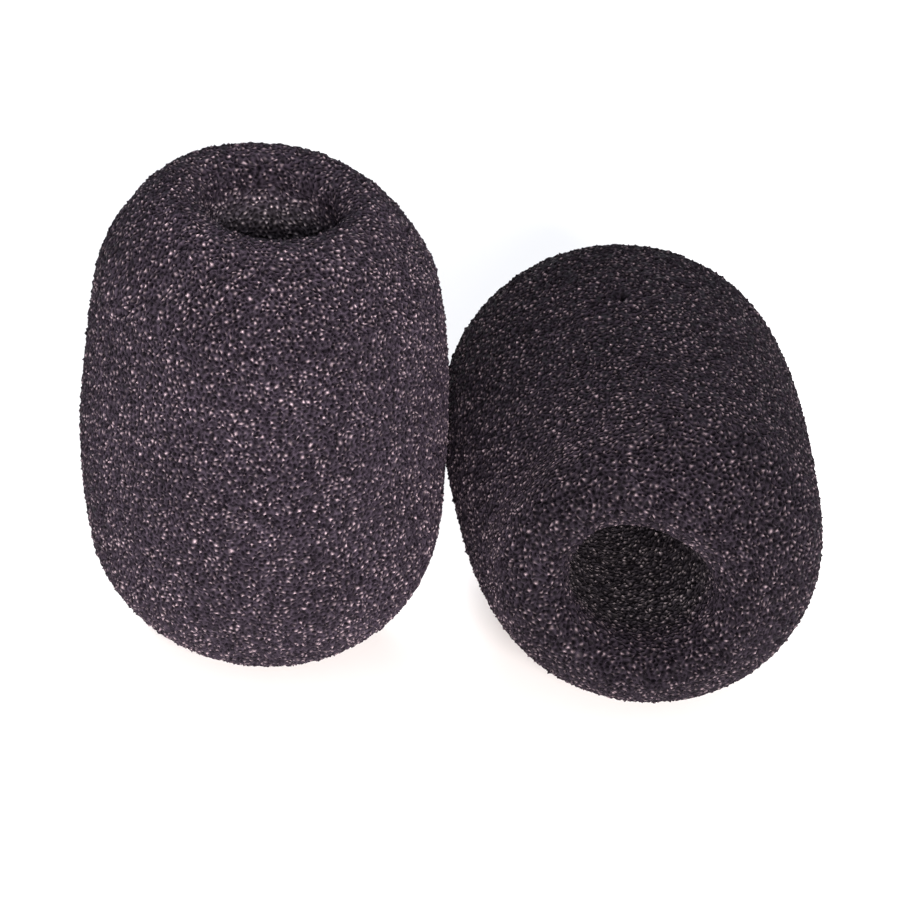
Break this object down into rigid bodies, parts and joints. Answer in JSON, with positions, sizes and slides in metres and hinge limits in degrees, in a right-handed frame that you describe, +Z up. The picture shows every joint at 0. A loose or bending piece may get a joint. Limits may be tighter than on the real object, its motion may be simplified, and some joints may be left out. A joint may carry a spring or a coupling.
{
  "type": "headset microphone windscreen",
  "caption": "Barrel-shaped open-cell foam windscreens for headset microphones, each with a round blind bore that stretches over the capsule.",
  "frame": {"origin": "on the surface both covers rest on, under the middle of the pair's footprint", "axes": "+Z up, out of the standing cover's bore; +X from the standing cover to the lying cover; -Y to the front, where the lying cover's mouth points"},
  "size_m": [0.0446, 0.0306, 0.0304],
  "materials": {
    "foam": "matte"
  },
  "bodies": {
    "standing_cover": {"standing_cover": "foam"},
    "lying_cover": {"lying_cover": "foam"}
  },
  "joints": [
    {"name": "lying_cover_slide", "type": "slide", "parent": "standing_cover", "child": "lying_cover", "axis": [1, 0, 0], "range_m": [0, 0.04]}
  ]
}
